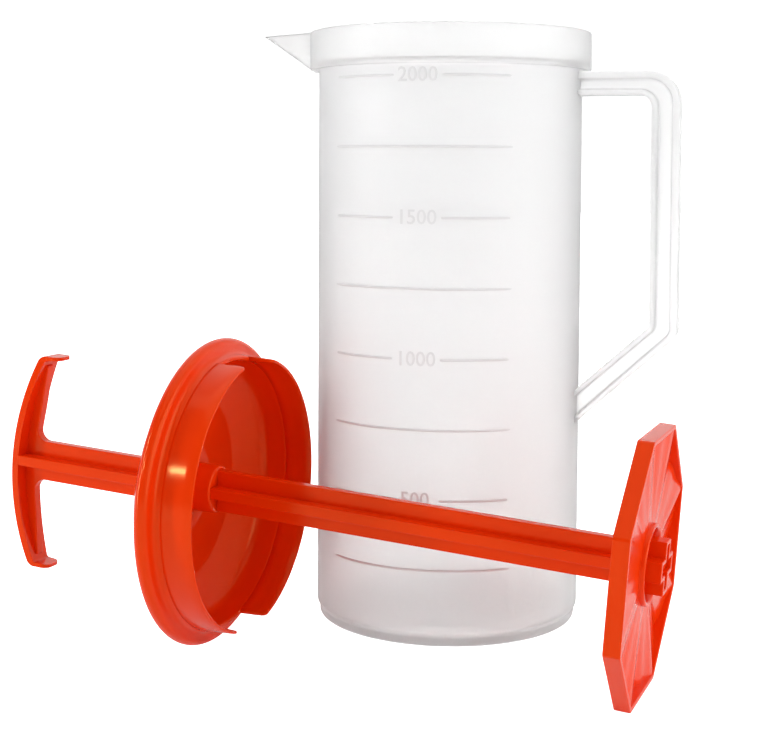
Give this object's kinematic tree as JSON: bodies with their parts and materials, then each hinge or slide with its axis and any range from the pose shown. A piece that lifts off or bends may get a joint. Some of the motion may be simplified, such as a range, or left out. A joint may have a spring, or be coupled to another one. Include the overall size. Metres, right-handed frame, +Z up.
{
  "type": "measuring jug with plunger mixer",
  "caption": "Tall straight jug with collar, spout and handle, and a loose plunger set: lid threaded on a cross-section rod with T-grip and octagonal mixing disc.",
  "frame": {"origin": "centre of the jug's flat base, on the surface it stands on", "axes": "+Z up along the jug's axis, +X to the jug's handle, -X to its spout, -Y to its measuring scale and to the plunger set lying in front of it"},
  "size_m": [0.2737, 0.1957, 0.2464],
  "materials": {
    "frosted_plastic": "frosted, translucent natural polypropylene",
    "orange_plastic": "glossy moulded plastic, opaque"
  },
  "bodies": {
    "jug": {"jug_body": "frosted_plastic", "rim_collar": "frosted_plastic", "pouring_spout": "frosted_plastic", "jug_handle": "frosted_plastic"},
    "lid": {"lid_dome": "orange_plastic", "lid_hub": "orange_plastic", "lid_skirt_front": "orange_plastic", "lid_skirt_back": "orange_plastic"},
    "plunger": {"plunger_rod": "orange_plastic", "plunger_grip": "orange_plastic"},
    "mixing_disc": {"disc_rim": "orange_plastic", "disc_plate": "orange_plastic", "disc_socket": "orange_plastic"}
  },
  "joints": [
    {"name": "lid_lift", "type": "slide", "parent": "jug", "child": "lid", "axis": [0, -0.2079, 0.9781], "range_m": [0, 0.3]},
    {"name": "rod_slide", "type": "slide", "parent": "lid", "child": "plunger", "axis": [0.9907, -0.1146, -0.0737], "range_m": [-0.045, 0.05]},
    {"name": "disc_pull_off", "type": "slide", "parent": "plunger", "child": "mixing_disc", "axis": [0.9907, -0.1146, -0.0737], "range_m": [0, 0.03]}
  ]
}
